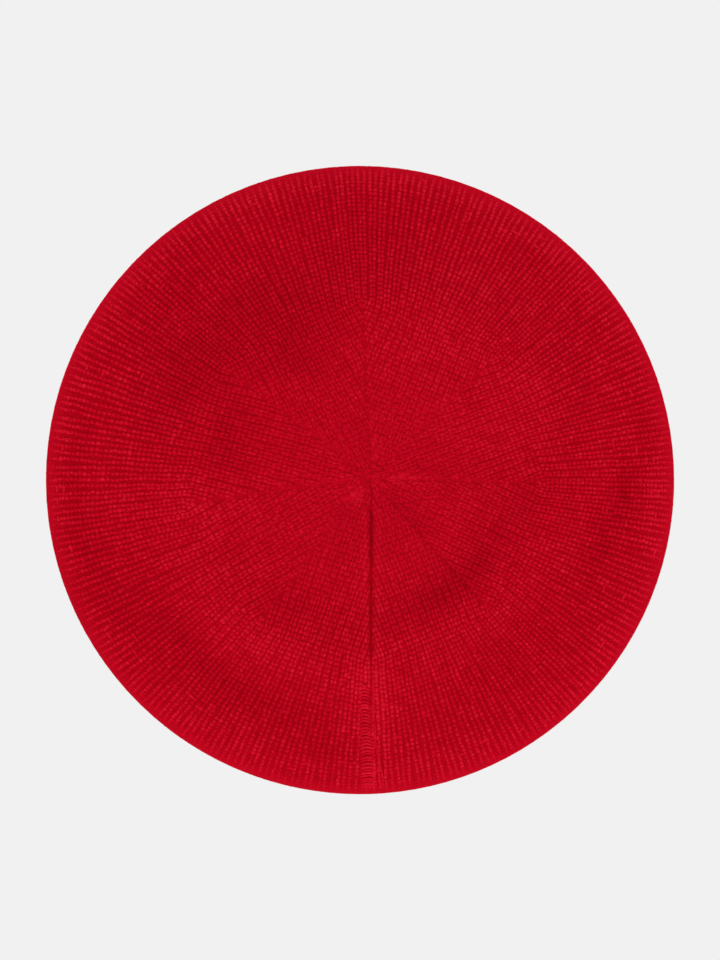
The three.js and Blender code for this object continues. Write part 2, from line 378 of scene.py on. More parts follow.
class Piece:
    """Collects points and faces, and makes one object of them that rides on the beret."""

    def __init__(self, name):
        self.name = name
        self.points = []
        self.painted_light_values = []
        self.faces = []
        self.count = 0

    def add(self, points, faces, painted_light_and_tone=0.0):
        points = points.reshape(-1, 3)
        self.points.append(points)
        self.painted_light_values.append(np.broadcast_to(np.asarray(painted_light_and_tone).reshape(-1), len(points)))
        self.faces.extend((faces + self.count).tolist())
        self.count += len(points)

    def add_strands(self, points, painted_light_and_tone, inwards=False):
        count, stations, sides = points.shape[:3]
        self.add(points, strand_faces(count, stations, sides, inwards), painted_light_and_tone)

    def make(self, material, node):
        mesh = bpy.data.meshes.new(self.name)
        mesh.from_pydata(np.vstack(self.points).tolist(), [], self.faces, shade_flat=False)
        mesh.materials.append(material)
        painted_light_and_tone = mesh.attributes.new("painted_light_and_tone", "FLOAT", "POINT")
        painted_light_and_tone.data.foreach_set("value", np.concatenate(self.painted_light_values).astype(np.float32))
        piece = bpy.data.objects.new(self.name, mesh)
        scene.collection.objects.link(piece)
        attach(piece, "root")
        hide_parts(node)


# One plain stitch
# Each stitch is a loop of soft yarn. Its two legs stand side by side, and the heads of the loops cross
# behind them. Where the knitting is stretched at the rim the legs stand apart and the heads come up
# nearly level with them. The first list of each pair is for the crown centre, the second for the rim.
# Places are in widths and heights of a stitch.
LEG_ALONG = (0.57, 0.35, 0.0, -0.35, -0.57)
LEG_ACROSS = ((0.15, 0.18, 0.21, 0.24, 0.28), (0.23, 0.24, 0.25, 0.26, 0.27))
LEG_DROP = ((1.1, 0.32, 0.0, 0.32, 1.1), (0.8, 0.25, 0.0, 0.25, 0.8))
LEG_TAPER = (0.6, 0.94, 1.0, 0.94, 0.6)
LEG_HALF_WIDTH = 0.26
LEG_WIDEST = 0.92
THIN_LEG_HALF_WIDTH = 0.97
LEG_DEPTH = 1.0
HEAD_ACROSS = (-0.5, -0.26, 0.0, 0.26, 0.5)
HEAD_ALONG = (0.2, 0.05, -0.06, 0.05, 0.2)
HEAD_DROP = ((1.3, 0.9, 0.8, 0.9, 1.3), (1.05, 0.92, 0.9, 0.92, 1.05))
HEAD_HALF_WIDTH = (0.6, 0.85)
HEAD_DEPTH = 0.45
# Painted shade on the heads: darker where they lie behind the legs, lighter where they come up level at
# the rim
HEAD_PAINTED_SHADE = (-0.3, 0.2)
UNEVEN_PLACE = 0.1
UNEVEN_LIFT = 0.09
UNEVEN_WIDTH = 0.08
UNEVEN_CREST = 0.2
MEAN_PAINTED_LIGHT = 0.45
# Each leg also wanders slowly along its wale: sideways in wale widths, and up and down
WANDER_STEPS = 18
WANDER_ACROSS = 0.05
WANDER_LIFT = 0.06
WANDER_CREST = 0.06
# The wales of each wedge, which run on over the rim to the band
WEDGE_WALES = [16, 18, 18, 21, 20, 19, 19, 17]
WALES = sum(WEDGE_WALES)


def between(first, last, weight):
    """Mixes two lists of station values for each stitch, by its weight."""
    weight = np.asarray(weight)[:, None]
    return (1 - weight) * np.array(first) + weight * np.array(last)


def wander(size, stitches):
    """Slow unevenness along each wale, one value for each stitch."""
    knots = dice.normal(0, size, (WALES, WANDER_STEPS + 1))
    place = stitches.along / END * WANDER_STEPS
    low = np.minimum(place.astype(int), WANDER_STEPS - 1)
    rest = place - low
    return ((1 - rest) * knots[stitches.wale, low] + rest * knots[stitches.wale, low + 1])[:, None]


def softened(painted_light_and_tone, relief):
    """Where the stitches stand out less, their painted light and shade also differ less."""
    return MEAN_PAINTED_LIGHT + (painted_light_and_tone - MEAN_PAINTED_LIGHT) * relief


def add_yarns(piece, stitches, across, along, lift, half_width, depth, painted_light_and_tone, sides):
    """Adds one strand to each stitch, a little uneven as soft yarn is."""
    relief = stitches.relief[:, None]
    uneven_place = UNEVEN_PLACE * stitches.unevenness[:, None]
    sideways, lengthways, higher, wider, lighter = dice.normal(0, 1, (5, len(stitches.width), 1))
    *strands, strand_light_and_tone = yarns(
        across * stitches.width[:, None] + uneven_place * sideways,
        along * stitches.height[:, None] + uneven_place * lengthways,
        (lift + UNEVEN_LIFT * (higher - 1)) * relief,
        half_width * (1 + UNEVEN_WIDTH * wider),
        depth,
        sides,
    )
    # The strand's tone is added, random and lighter or darker for each strand, with the heads' painted
    # shade; then the painted light and shade of the top
    strand_light_and_tone = strand_light_and_tone + (painted_light_and_tone + UNEVEN_CREST * lighter)[..., None]
    points = stitches.place(*strands)
    piece.add_strands(points, softened(strand_light_and_tone, relief[..., None]) + painted_light_at(points))


def add_stitches(piece, stitches, leg_sides=3, head_sides=3):
    """Adds the two legs and the head of each stitch to a piece."""
    stretch = stitches.stretch[:, None]
    plump = np.minimum(LEG_HALF_WIDTH * stitches.width[:, None], LEG_WIDEST)
    half_width = ((1 - stretch) * plump + stretch * THIN_LEG_HALF_WIDTH) * np.array(LEG_TAPER)
    along = np.broadcast_to(LEG_ALONG, half_width.shape)
    drop = between(*LEG_DROP, stitches.stretch)
    for side in (1, -1):
        across = side * between(*LEG_ACROSS, stitches.stretch) + wander(WANDER_ACROSS, stitches)
        lift = wander(WANDER_LIFT, stitches) - WANDER_LIFT - drop
        painted_light_and_tone = wander(WANDER_CREST, stitches)
        add_yarns(piece, stitches, across, along, lift, half_width, LEG_DEPTH, painted_light_and_tone, leg_sides)
    across = np.broadcast_to(HEAD_ACROSS, half_width.shape)
    along = np.broadcast_to(HEAD_ALONG, half_width.shape)
    half_width = (1 - stretch) * HEAD_HALF_WIDTH[0] + stretch * HEAD_HALF_WIDTH[1]
    half_width = np.broadcast_to(half_width, across.shape)
    lift = -WANDER_LIFT - between(*HEAD_DROP, stitches.stretch)
    painted_light_and_tone = (1 - stretch) * HEAD_PAINTED_SHADE[0] + stretch * HEAD_PAINTED_SHADE[1]
    add_yarns(piece, stitches, across, along, lift, half_width, HEAD_DEPTH, painted_light_and_tone, head_sides)


# Brushed wool and painted light
# One node group makes the look of brushed cashmere for every material: soft patches of colour, the
# mottle of the yarn, the painted light and shade kept in each mesh point, a pinker painted highlight where
# that is high, and short fibres as bumps. Each noise is (scale, detail, roughness), and each weight is how
# much it counts in the colour.
PATCHES = (22, 2, 0.5)
CLOUDS = (170, 2, 0.5)
MOTTLE = (1100, 3, 0.6)
FIBRES = (2600, 4, 0.7)
PATCH_WEIGHT = 0.12
CLOUD_WEIGHT = 0.2
MOTTLE_WEIGHT = 0.7
PAINTED_LIGHT_WEIGHT = 0.22
MIDDLE_SHADE = 0.61
HIGHLIGHT_SHOWS_FROM = 0.64
HIGHLIGHT_FULL_AT = 1.35
SMOOTHEST = 0.82
ROUGHEST = 1.0
FIBRE_STRENGTH = 0.5
FIBRE_HEIGHT = 0.0003
MIX_FIRST = 6
MIX_SECOND = 7
MIX_RESULT = 2


def make_brushed_wool_and_painted_light():
    group = bpy.data.node_groups.new("brushed_wool_and_painted_light", "ShaderNodeTree")
    for name in ("Dark", "Light", "Painted Highlight"):
        group.interface.new_socket(name, in_out="INPUT", socket_type="NodeSocketColor")
    for name, kind in (("Colour", "Color"), ("Roughness", "Float"), ("Normal", "Vector")):
        group.interface.new_socket(name, in_out="OUTPUT", socket_type="NodeSocket" + kind)
    nodes, links = group.nodes, group.links
    incoming = nodes.new("NodeGroupInput")
    outgoing = nodes.new("NodeGroupOutput")
    place = nodes.new("ShaderNodeTexCoord")

    def noise(scale, detail, roughness):
        node = nodes.new("ShaderNodeTexNoise")
        node.inputs["Scale"].default_value = scale
        node.inputs["Detail"].default_value = detail
        node.inputs["Roughness"].default_value = roughness
        links.new(place.outputs["Object"], node.inputs["Vector"])
        return node.outputs["Fac"]

    def mixed(factor, first, second):
        node = nodes.new("ShaderNodeMix")
        node.data_type = "RGBA"
        links.new(factor, node.inputs["Factor"])
        links.new(first, node.inputs[MIX_FIRST])
        links.new(second, node.inputs[MIX_SECOND])
        return node.outputs[MIX_RESULT]

    mottle = noise(*MOTTLE)
    # The painted light and shade kept in each mesh point
    painted_light_and_tone = nodes.new("ShaderNodeAttribute")
    painted_light_and_tone.attribute_name = "painted_light_and_tone"
    parts = (
        (noise(*PATCHES), PATCH_WEIGHT),
        (noise(*CLOUDS), CLOUD_WEIGHT),
        (mottle, MOTTLE_WEIGHT),
        (painted_light_and_tone.outputs["Fac"], PAINTED_LIGHT_WEIGHT),
    )
    shade = None
    for source, weight in parts:
        part = nodes.new("ShaderNodeMath")
        part.operation = "MULTIPLY_ADD"
        links.new(source, part.inputs[0])
        part.inputs[1].default_value = weight
        part.inputs[2].default_value = -weight / 2
        if shade is not None:
            total = nodes.new("ShaderNodeMath")
            links.new(shade, total.inputs[0])
            links.new(part.outputs[0], total.inputs[1])
            part = total
        shade = part.outputs[0]
    centred = nodes.new("ShaderNodeMath")
    links.new(shade, centred.inputs[0])
    centred.inputs[1].default_value = MIDDLE_SHADE
    shade = centred.outputs[0]

    # A pinker painted highlight where the colour is lightest
    highlight_amount = nodes.new("ShaderNodeMapRange")
    links.new(shade, highlight_amount.inputs["Value"])
    highlight_amount.inputs["From Min"].default_value = HIGHLIGHT_SHOWS_FROM
    highlight_amount.inputs["From Max"].default_value = HIGHLIGHT_FULL_AT
    yarn = mixed(shade, incoming.outputs["Dark"], incoming.outputs["Light"])
    colour = mixed(highlight_amount.outputs["Result"], yarn, incoming.outputs["Painted Highlight"])
    links.new(colour, outgoing.inputs["Colour"])

    roughness = nodes.new("ShaderNodeMapRange")
    links.new(mottle, roughness.inputs["Value"])
    roughness.inputs["To Min"].default_value = SMOOTHEST
    roughness.inputs["To Max"].default_value = ROUGHEST
    links.new(roughness.outputs["Result"], outgoing.inputs["Roughness"])

    bump = nodes.new("ShaderNodeBump")
    bump.inputs["Strength"].default_value = FIBRE_STRENGTH
    bump.inputs["Distance"].default_value = FIBRE_HEIGHT
    links.new(noise(*FIBRES), bump.inputs["Height"])
    links.new(bump.outputs["Normal"], outgoing.inputs["Normal"])
    return group


SPECULAR_LEVEL = 0.01
SHEEN_WEIGHT = 0.6
SHEEN_ROUGHNESS = 0.35
SHEEN_TINT = (1.0, 0.0, 0.03, 1)
brushed_wool_and_painted_light = make_brushed_wool_and_painted_light()


def make_cashmere(name, dark, light, painted_highlight):
    """Cashmere in three reds: a dark and a light one between which the mottle and the painted shade and
    light of the strands run, and a pinker painted highlight.
    """
    material = bpy.data.materials.new(name)
    material.use_nodes = True
    nodes, links = material.node_tree.nodes, material.node_tree.links
    shader = nodes["Principled BSDF"]
    shader.inputs["Specular IOR Level"].default_value = SPECULAR_LEVEL
    shader.inputs["Sheen Weight"].default_value = SHEEN_WEIGHT
    shader.inputs["Sheen Roughness"].default_value = SHEEN_ROUGHNESS
    shader.inputs["Sheen Tint"].default_value = SHEEN_TINT
    fibres = nodes.new("ShaderNodeGroup")
    fibres.node_tree = brushed_wool_and_painted_light
    for socket, colour in (("Dark", dark), ("Light", light), ("Painted Highlight", painted_highlight)):
        fibres.inputs[socket].default_value = (*colour, 1)
    links.new(fibres.outputs["Colour"], shader.inputs["Base Color"])
    links.new(fibres.outputs["Roughness"], shader.inputs["Roughness"])
    links.new(fibres.outputs["Normal"], shader.inputs["Normal"])
    return material


# Dark and light ends of the mottle and of the painted shade and light, and the painted highlight
PLAIN_DARK = (0.28, 0.0, 0.003)
PLAIN_LIGHT = (0.76, 0.003, 0.022)
PLAIN_PAINTED_HIGHLIGHT = (0.84, 0.024, 0.05)
plain_cashmere = make_cashmere("plain_cashmere", PLAIN_DARK, PLAIN_LIGHT, PLAIN_PAINTED_HIGHLIGHT)

# Stitches of the wedges
# In each wedge the wales are straight and even, and end one by one at the lines of decreases.
CORNER_RADIUS = 80.5
WEDGE_ROWS = 33
CENTRE_FLATTER = 0.6
CENTRE_UNEVEN = 1.7
CENTRE_TO = (5, 85)
EDGE_FLATTER = 0.7
EDGE_FROM = (0.955, 0.995)
LEAST_OUT = 0.05


def relief_at(radius):
    """How far the stitches of the top stand out: less near the crown centre, where the wool is fuller,
    and at the edge of the outline."""
    centre = CENTRE_FLATTER * (1 - ease(radius, *CENTRE_TO))
    return 1 - centre - EDGE_FLATTER * ease(radius / BERET_RADIUS, *EDGE_FROM)


def unevenness_at(radius):
    """How uneven the stitches are: more near the crown centre, and less at the edge of the outline."""
    centre = CENTRE_UNEVEN * (1 - ease(radius, *CENTRE_TO))
    return 1 + centre - EDGE_FLATTER * ease(radius / BERET_RADIUS, *EDGE_FROM)


class Wedge:
    def __init__(self, start, end, count):
        self.middle = (start + end) / 2
        self.half = math.radians((end - start) / 2)
        self.flat = CORNER_RADIUS * math.cos(self.half)
        self.pitch = 2 * CORNER_RADIUS * math.sin(self.half) / count
        self.offsets = (np.arange(count) - (count - 1) / 2) * self.pitch


wedges = [Wedge(*args) for args in zip(LINES, LINES[1:], WEDGE_WALES)]


class WedgeStitches:
    """The places of the stitches in the wedges: across is measured square to a wedge's middle line."""

    def __init__(self):
        rows = (np.arange(WEDGE_ROWS) + 0.5) / WEDGE_ROWS
        found = []
        first_wale = 0
        for wedge, side in zip(wedges, [1] + [0] * (len(wedges) - 2) + [-1]):
            out, off = np.meshgrid(rows * wedge.flat, wedge.offsets, indexing="ij")
            wale = np.broadcast_to(first_wale + np.arange(len(wedge.offsets)), out.shape)
            kept = np.abs(off) < out * math.tan(wedge.half)
            same = [wedge.pitch, wedge.flat / WEDGE_ROWS, wedge.middle, side]
            same = [np.full(kept.sum(), value) for value in same]
            found.append([out[kept], off[kept], wale[kept], *same])
            first_wale += len(wedge.offsets)
        self.out, self.off, wale, *same = np.concatenate(found, axis=1)
        self.width, self.height, self.middle, self.side = same
        self.wale = wale.astype(int)
        radius = np.hypot(self.out, self.off)
        self.along = along_at(radius)
        self.stretch = np.zeros(len(radius))
        self.relief = relief_at(radius)
        self.unevenness = unevenness_at(radius)

    def place(self, across, along, lift):
        middle, side, out, off = (v[:, None, None] for v in (self.middle, self.side, self.out, self.off))
        out, off = out + along, off + across
        radius = np.hypot(out, off)
        turn = middle + np.degrees(np.arctan2(off, np.maximum(out, LEAST_OUT)))
        return on_knitting(along_at(radius), beside_seam(radius, turn, side), lift)


piece = Piece("crown_wedge_stitches")
add_stitches(piece, WedgeStitches(), head_sides=2)
piece.make(plain_cashmere, "crown")


# Crown slope and rim
# From the wedges the same cashmere wales run straight out over the ring that the band presses up, and
# over the rolled rim, where the knitting is stretched. They are made in two pieces, one outside the other.
SLOPE_ROWS = 35
SLOPE_CLOSER = 0.06
STRETCH_FROM = (0.55, 0.85)
SEAM_COLUMN_START = 92.0
wale_turns = np.concatenate([w.middle + np.degrees(np.arctan(w.offsets / w.flat)) for w in wedges])
wale_widths = np.concatenate([w.pitch * w.flat / (w.flat**2 + w.offsets**2) for w in wedges])
wale_starts = along_at(np.concatenate([np.hypot(w.flat, w.offsets) for w in wedges]))


class RoundStitches:
    """The places of the stitches in whole rounds, where each wale keeps its turn."""

    def __init__(self, wale, along, height):
        self.wale, self.along, self.height = wale, along, height
        self.turn = wale_turns[wale]
        self.radius = radius_at(along)
        self.width = wale_widths[wale] * self.radius
        self.stretch = ease(self.radius / BERET_RADIUS, *STRETCH_FROM)
        self.relief = relief_at(self.radius)
        self.unevenness = unevenness_at(self.radius)

    def place(self, across, along, lift):
        turn, radius, row = (v[:, None, None] for v in (self.turn, self.radius, self.along))
        return on_knitting(row + along, turn + np.degrees(across / radius), lift)


def rounds(starts, ends, rows, chosen, closer=0.0):
    """The stitches of the chosen rows between two lines round the beret, without the seam's own wale.
    The rows may lie a little closer together towards the second line."""
    done = (chosen[:, None] + 0.5) / rows
    along = starts + (done + closer * done * (1 - done)) * (ends - starts)
    height = (1 + closer * (1 - 2 * done)) * (ends - starts) / rows
    kept = np.ones(along.shape, bool)
    kept[:, 0] = (radius_at(along[:, 0]) < SEAM_COLUMN_START) & (along[:, 0] <= EDGE)
    wale = np.broadcast_to(np.arange(WALES), along.shape)
    return RoundStitches(wale[kept], along[kept], np.broadcast_to(height, along.shape)[kept])


half_of_rows = SLOPE_ROWS // 2
slope = (wale_starts, np.full(wale_starts.shape, EDGE), SLOPE_ROWS)
inner_rows, outer_rows = np.arange(half_of_rows), np.arange(half_of_rows, SLOPE_ROWS)
for name, rows in (("crown_slope_stitches", inner_rows), ("crown_rim_stitches", outer_rows)):
    piece = Piece(name)
    add_stitches(piece, rounds(*slope, rows, SLOPE_CLOSER))
    piece.make(plain_cashmere, "crown")


# Underside
# Below the rim the same cashmere wales go on and draw closer again to the head opening, where they are
# linked to the band.
UNDER_ROWS = 31
UNDER_END_RADIUS = 86.5
under_end = np.interp(-UNDER_END_RADIUS, -profile[edge_index:, 0], profile_along[edge_index:])
under = (np.full(wale_starts.shape, EDGE), np.full(wale_starts.shape, under_end), UNDER_ROWS)
piece = Piece("underside_stitches")
add_stitches(piece, rounds(*under, np.arange(UNDER_ROWS)), leg_sides=2, head_sides=1)
piece.make(plain_cashmere, "crown")


# Crown ground
# The body of the knitting behind the stitches, of the same cashmere yarn. It is what shows in the gaps
# between the legs, and on the wrong side, where each stitch has a purl bump that the head opening shows.
GROUND_OUTER = -0.95
GROUND_AT_EDGE = -0.14
# Painted shade on the ground where it shows in the gaps between the legs, and less of it along the lines
# of decreases
GROUND_PAINTED_SHADE = -0.95
GROUND_AT_LINES = 1.4
GROUND_MOST_AT_LINES = 0.55
GROUND_INNER = -1.6
GROUND_RING_STEP = 2.4
GROUND_FIRST_RING = 0.2
GROUND_WEDGE_COLUMNS = 14
GROUND_LINE_OFFSETS = np.array([0, 1.2, 2.4])
GROUND_LEAST_RADIUS = 16.0
PURL_ROWS_OUTSIDE = 10
PURL_ACROSS = (-0.56, -0.34, 0.0, 0.34, 0.56)
PURL_ALONG = (0.3, 0.0, -0.14, 0.0, 0.3)
PURL_LIFT = (-1.7, -2.2, -2.35, -2.2, -1.7)
PURL_HALF_WIDTH = 0.72
PURL_DEPTH = 0.8


def ground_turns(along):
    """The columns of one ring: close together at the seam and at the lines of decreases."""
    radius = max(float(radius_at(along)), GROUND_LEAST_RADIUS)
    seam = np.degrees(np.arctan(np.array(SEAM_OFFSETS) / radius))
    line = np.degrees(np.arctan(GROUND_LINE_OFFSETS / radius))
    columns = []
    for start, end in zip(LINES, LINES[1:]):
        after = seam if start == LINES[0] else line
        before = seam if end == LINES[-1] else line
        inner = np.linspace(start + after[-1], end - before[-1], GROUND_WEDGE_COLUMNS)[1:-1]
        columns.append(np.concatenate([start + after, inner, end - before[:0:-1]]))
    return np.concatenate(columns)


def add_cap(piece, centre, ring, upwards):
    """Closes a ring of points, clockwise seen from above, with a fan round its centre."""
    count = len(ring)
    here = np.arange(count)
    after = (here + 1) % count
    fan = np.stack([here, after, np.full(count, count)], axis=-1)
    piece.add(np.vstack([ring, centre[None]]), fan[:, ::-1] if upwards else fan)


piece = Piece("crown_ground")
ring_count = int(END / GROUND_RING_STEP)
outer_rings = np.linspace(GROUND_FIRST_RING, END, ring_count)
to_edge = ease(radius_at(outer_rings) / BERET_RADIUS, *EDGE_FROM)
outer_lift = GROUND_OUTER + (GROUND_AT_EDGE - GROUND_OUTER) * to_edge
rings = []
for along, lift in [*zip(outer_rings, outer_lift), *((s, GROUND_INNER) for s in outer_rings[::-1])]:
    turns = ground_turns(along)
    rings.append(on_knitting(np.full(turns.shape, along), turns, lift))
ground_points = np.stack(rings)
ground_faces = grid_faces(len(rings), ground_points.shape[1], wrap_columns=True)[:, ::-1]
# Painted shade on the ground, softened where the stitches stand out less, with the painted light and shade
# of the top and less shade along the lines of decreases
ground_painted_shade = np.full(ground_points.shape[:2], GROUND_PAINTED_SHADE)
outer_painted_shade = softened(GROUND_PAINTED_SHADE, relief_at(radius_at(outer_rings)))
at_lines = np.array([lines_at(radius_at(s), ground_turns(s)) * (s <= EDGE) for s in outer_rings])
at_lines = np.minimum(GROUND_AT_LINES * at_lines, GROUND_MOST_AT_LINES)
ground_painted_shade[:ring_count] = outer_painted_shade[:, None] + painted_light_at(ground_points[:ring_count]) + at_lines
piece.add(ground_points, ground_faces, ground_painted_shade)
for lift, ring, upwards in ((GROUND_OUTER, rings[0], True), (GROUND_INNER, rings[-1], False)):
    add_cap(piece, on_knitting(np.array(0.0), np.array(0.0), lift), ring, upwards)
outside = rounds(*slope, np.arange(PURL_ROWS_OUTSIDE), SLOPE_CLOSER)
for stitches in (WedgeStitches(), outside):
    across = np.array(PURL_ACROSS) * stitches.width[:, None]
    along = np.array(PURL_ALONG) * stitches.height[:, None]
    lift = np.broadcast_to(PURL_LIFT, across.shape)
    half_width = np.full(across.shape, PURL_HALF_WIDTH)
    *bumps, painted_light_and_tone = yarns(across, along, lift, half_width, -PURL_DEPTH, sides=2)
    piece.add_strands(stitches.place(*bumps), painted_light_and_tone, inwards=True)
piece.make(plain_cashmere, "crown")


# Seam on the rim
# Outside the ring, the seam that closes the knitting at the back shows as a column of short arcs with a
# strand of the same cashmere yarn on its right. Places across and along are in millimetres here, and each
# table gives a width or an offset at a radius.
ARC_STEP = 1.5
ARC_WIDTH = ((92, 4.4), (112, 5.2), (124, 6.4), (140, 7.4))
ARC_ACROSS = np.linspace(-0.5, 0.5, 7)
ARC_CENTRE = ((92, 3.0), (112, 2.6), (124, 1.4), (140, 1.0))
ARC_BULGE = 1.3
ARC_HALF_WIDTH = 0.62
ARC_DEPTH = 0.8
# Painted light on the seam's arcs, lighter than the stitches beside them
ARC_PAINTED_LIGHT = 0.2
ARC_LIFT = 0.15
ARC_LIFT_AT_EDGE = -0.3
ARC_END_DROP = 0.75
ARC_DROP_POWER = 3
STRAND_OFFSET = ((92, -0.8), (104, -1.2), (118, -2.2), (132, -5.0), (140, -5.6))
STRAND_STARTS_BEFORE = 4
STRAND_STEP = 2.0
STRAND_LIFT = 0.3
STRAND_HALF_WIDTH = 0.6
STRAND_DEPTH = 0.9
# Dark and light ends of the mottle and of the painted shade and light, and the painted highlight
SEAM_DARK = (0.28, 0.0, 0.003)
SEAM_LIGHT = (0.78, 0.003, 0.022)
SEAM_PAINTED_HIGHLIGHT = (0.84, 0.024, 0.05)
seam_cashmere = make_cashmere("seam_cashmere", SEAM_DARK, SEAM_LIGHT, SEAM_PAINTED_HIGHLIGHT)
seam_start = along_at(SEAM_COLUMN_START)

arc_along = np.arange(seam_start, under_end, ARC_STEP)
arc_radius = radius_at(arc_along)
arc_count = len(arc_along)
at_edge = ease(arc_radius / BERET_RADIUS, *EDGE_FROM)[:, None]
centre = np.interp(arc_radius, *zip(*ARC_CENTRE))
across = centre[:, None] + ARC_ACROSS * np.interp(arc_radius, *zip(*ARC_WIDTH))[:, None]
along = arc_along[:, None] - ARC_BULGE * (1 - (2 * ARC_ACROSS) ** 2)
along = along + dice.normal(0, UNEVEN_PLACE, (arc_count, 1))
lift = ARC_LIFT + (ARC_LIFT_AT_EDGE - ARC_LIFT) * at_edge
lift = lift - ARC_END_DROP * (2 * np.abs(ARC_ACROSS)) ** ARC_DROP_POWER
lift = lift + dice.normal(0, UNEVEN_LIFT, (arc_count, 1)) * (1 - at_edge)
half_width = np.full(across.shape, ARC_HALF_WIDTH)
across, along, lift, painted_light_and_tone = yarns(across, along, lift, half_width, ARC_DEPTH)
painted_light_and_tone = painted_light_and_tone + ARC_PAINTED_LIGHT + dice.normal(0, UNEVEN_CREST, (arc_count, 1, 1))
piece = Piece("seam_rim_stitches")
piece.add_strands(on_knitting(along, np.degrees(across / arc_radius[:, None, None]), lift), painted_light_and_tone)

strand_along = np.arange(seam_start - STRAND_STARTS_BEFORE, under_end, STRAND_STEP)
strand_radius = radius_at(strand_along)
at_edge = ease(strand_radius / BERET_RADIUS, *EDGE_FROM)
strand_across = np.interp(strand_radius, *zip(*STRAND_OFFSET))
strand_across += dice.normal(0, UNEVEN_PLACE, len(strand_along))
strand_lift = (STRAND_LIFT + dice.normal(0, UNEVEN_LIFT, len(strand_along))) * (1 - at_edge)
strand_lift = strand_lift + ARC_LIFT_AT_EDGE * at_edge
half_width = np.full((1, len(strand_along)), STRAND_HALF_WIDTH)
across, along, lift, painted_light_and_tone = yarns(
    strand_across[None], strand_along[None], strand_lift[None], half_width, STRAND_DEPTH)
piece.add_strands(on_knitting(along, np.degrees(across / strand_radius[None, :, None]), lift), painted_light_and_tone)
piece.make(seam_cashmere, "back_seam")


# Headband
# A strip of two by two ribs in cashmere, seven rows high, linked to the crown's lower edge. Where its
# outer face has plain stitches on the ribs that stand out, its inner face has purl bumps, and the other
# way round.
BAND_HEIGHT = 16.0
BAND_INNER_RADIUS = 81.0
BAND_FLARE = 1.0
BAND_THICKNESS = 2.4
BAND_ROWS = 7
BAND_BODY_INSET = 0.85
BAND_EDGE = 0.4
BAND_LOWEST = 0.15
BAND_TOP_INSET = 0.1
BAND_MARGIN = 0.05
RIB_WALES = 4
RIB_DEPTH = 0.9
RIB_STEEPNESS = 1.4
RIB_PHASE = 0.125
POINTS_PER_WALE = 4
BAND_PLAIN_LIFT = -0.02
BAND_PURL_LIFT = (-0.75, -0.3, -0.15, -0.3, -0.75)
# Dark and light ends of the mottle and of the painted shade and light, and the painted highlight
RIB_DARK = (0.27, 0.0, 0.003)
RIB_LIGHT = (0.74, 0.003, 0.022)
RIB_PAINTED_HIGHLIGHT = (0.82, 0.024, 0.05)
rib_cashmere = make_cashmere("rib_cashmere", RIB_DARK, RIB_LIGHT, RIB_PAINTED_HIGHLIGHT)
band_middle = BAND_INNER_RADIUS + BAND_THICKNESS / 2
band_wale_width = 2 * math.pi * band_middle / WALES
band_row_height = BAND_HEIGHT / BAND_ROWS


def band_shift(turn):
    """Two wales stand out and two lie back, with soft steps between them."""
    phase = turn / 360 * WALES / RIB_WALES
    wave = np.cos(2 * math.pi * (phase - RIB_PHASE))
    return np.clip(wave * RIB_STEEPNESS, -1, 1) * RIB_DEPTH / 2


def on_band(turn, height, outwards):
    """Points in metres of the band's middle skin, moved outwards by a length."""
    angle = np.radians(-90 - turn)
    radius = band_middle + BAND_FLARE * height / BAND_HEIGHT + band_shift(turn) + outwards
    return np.stack([radius * np.cos(angle), radius * np.sin(angle), height], axis=-1) * METRES


piece = Piece("headband_ribs")
body = BAND_THICKNESS / 2 - BAND_BODY_INSET
body_top = BAND_HEIGHT - BAND_EDGE
loop = [(body_top, body), (BAND_EDGE, body), (BAND_LOWEST, 0), (BAND_EDGE, -body), (body_top, -body),
        (BAND_HEIGHT - BAND_TOP_INSET, 0)]
body_turns = np.arange(WALES * POINTS_PER_WALE) * 360 / (WALES * POINTS_PER_WALE)
body_points = np.stack([on_band(body_turns, np.full(body_turns.shape, h), out) for h, out in loop])
body_faces = grid_faces(len(loop), len(body_turns), wrap_rows=True, wrap_columns=True)
piece.add(body_points, body_faces[:, ::-1])
band_row, band_wale = (grid.ravel() for grid in np.mgrid[:BAND_ROWS, :WALES])
stands_out = band_wale % RIB_WALES < RIB_WALES / 2


def add_band_strands(chosen, across, down, lift, half_width, depth, facing, sides):
    """Adds one strand to each chosen stitch of the band, on its outer (1) or inner (-1) face."""
    count = int(chosen.sum())
    shape = (count, len(across))
    turn = band_wale[chosen] * 360 / WALES
    top = (BAND_ROWS - 0.5 - band_row[chosen]) * band_row_height
    side = np.broadcast_to(np.array(across) * band_wale_width * facing, shape)
    fall = np.broadcast_to(np.array(down) * band_row_height, shape)
    out = np.broadcast_to(np.array(lift), shape) + dice.normal(0, UNEVEN_LIFT, (count, 1)) - UNEVEN_LIFT
    side, fall, out, painted_light_and_tone = yarns(side, fall, out, np.broadcast_to(half_width, shape), depth, sides)
    turn = turn[:, None, None] + np.degrees(side / band_middle)
    height = np.clip(top[:, None, None] - fall, BAND_MARGIN, BAND_HEIGHT - BAND_MARGIN)
    points = on_band(turn, height, facing * (BAND_THICKNESS / 2 + out))
    piece.add_strands(points, painted_light_and_tone, inwards=facing < 0)


leg_lift = BAND_PLAIN_LIFT - np.array(LEG_DROP[0])
leg_width = LEG_HALF_WIDTH * band_wale_width * np.array(LEG_TAPER)
purl_width = np.full(len(PURL_ACROSS), PURL_HALF_WIDTH)
for facing, plain in ((1, stands_out), (-1, ~stands_out)):
    for side in (1, -1):
        leg_across = side * np.array(LEG_ACROSS[0])
        add_band_strands(plain, leg_across, LEG_ALONG, leg_lift, leg_width, LEG_DEPTH, facing, 3)
    add_band_strands(~plain, PURL_ACROSS, PURL_ALONG, BAND_PURL_LIFT, purl_width, PURL_DEPTH, facing, 2)
piece.make(rib_cashmere, "headband")


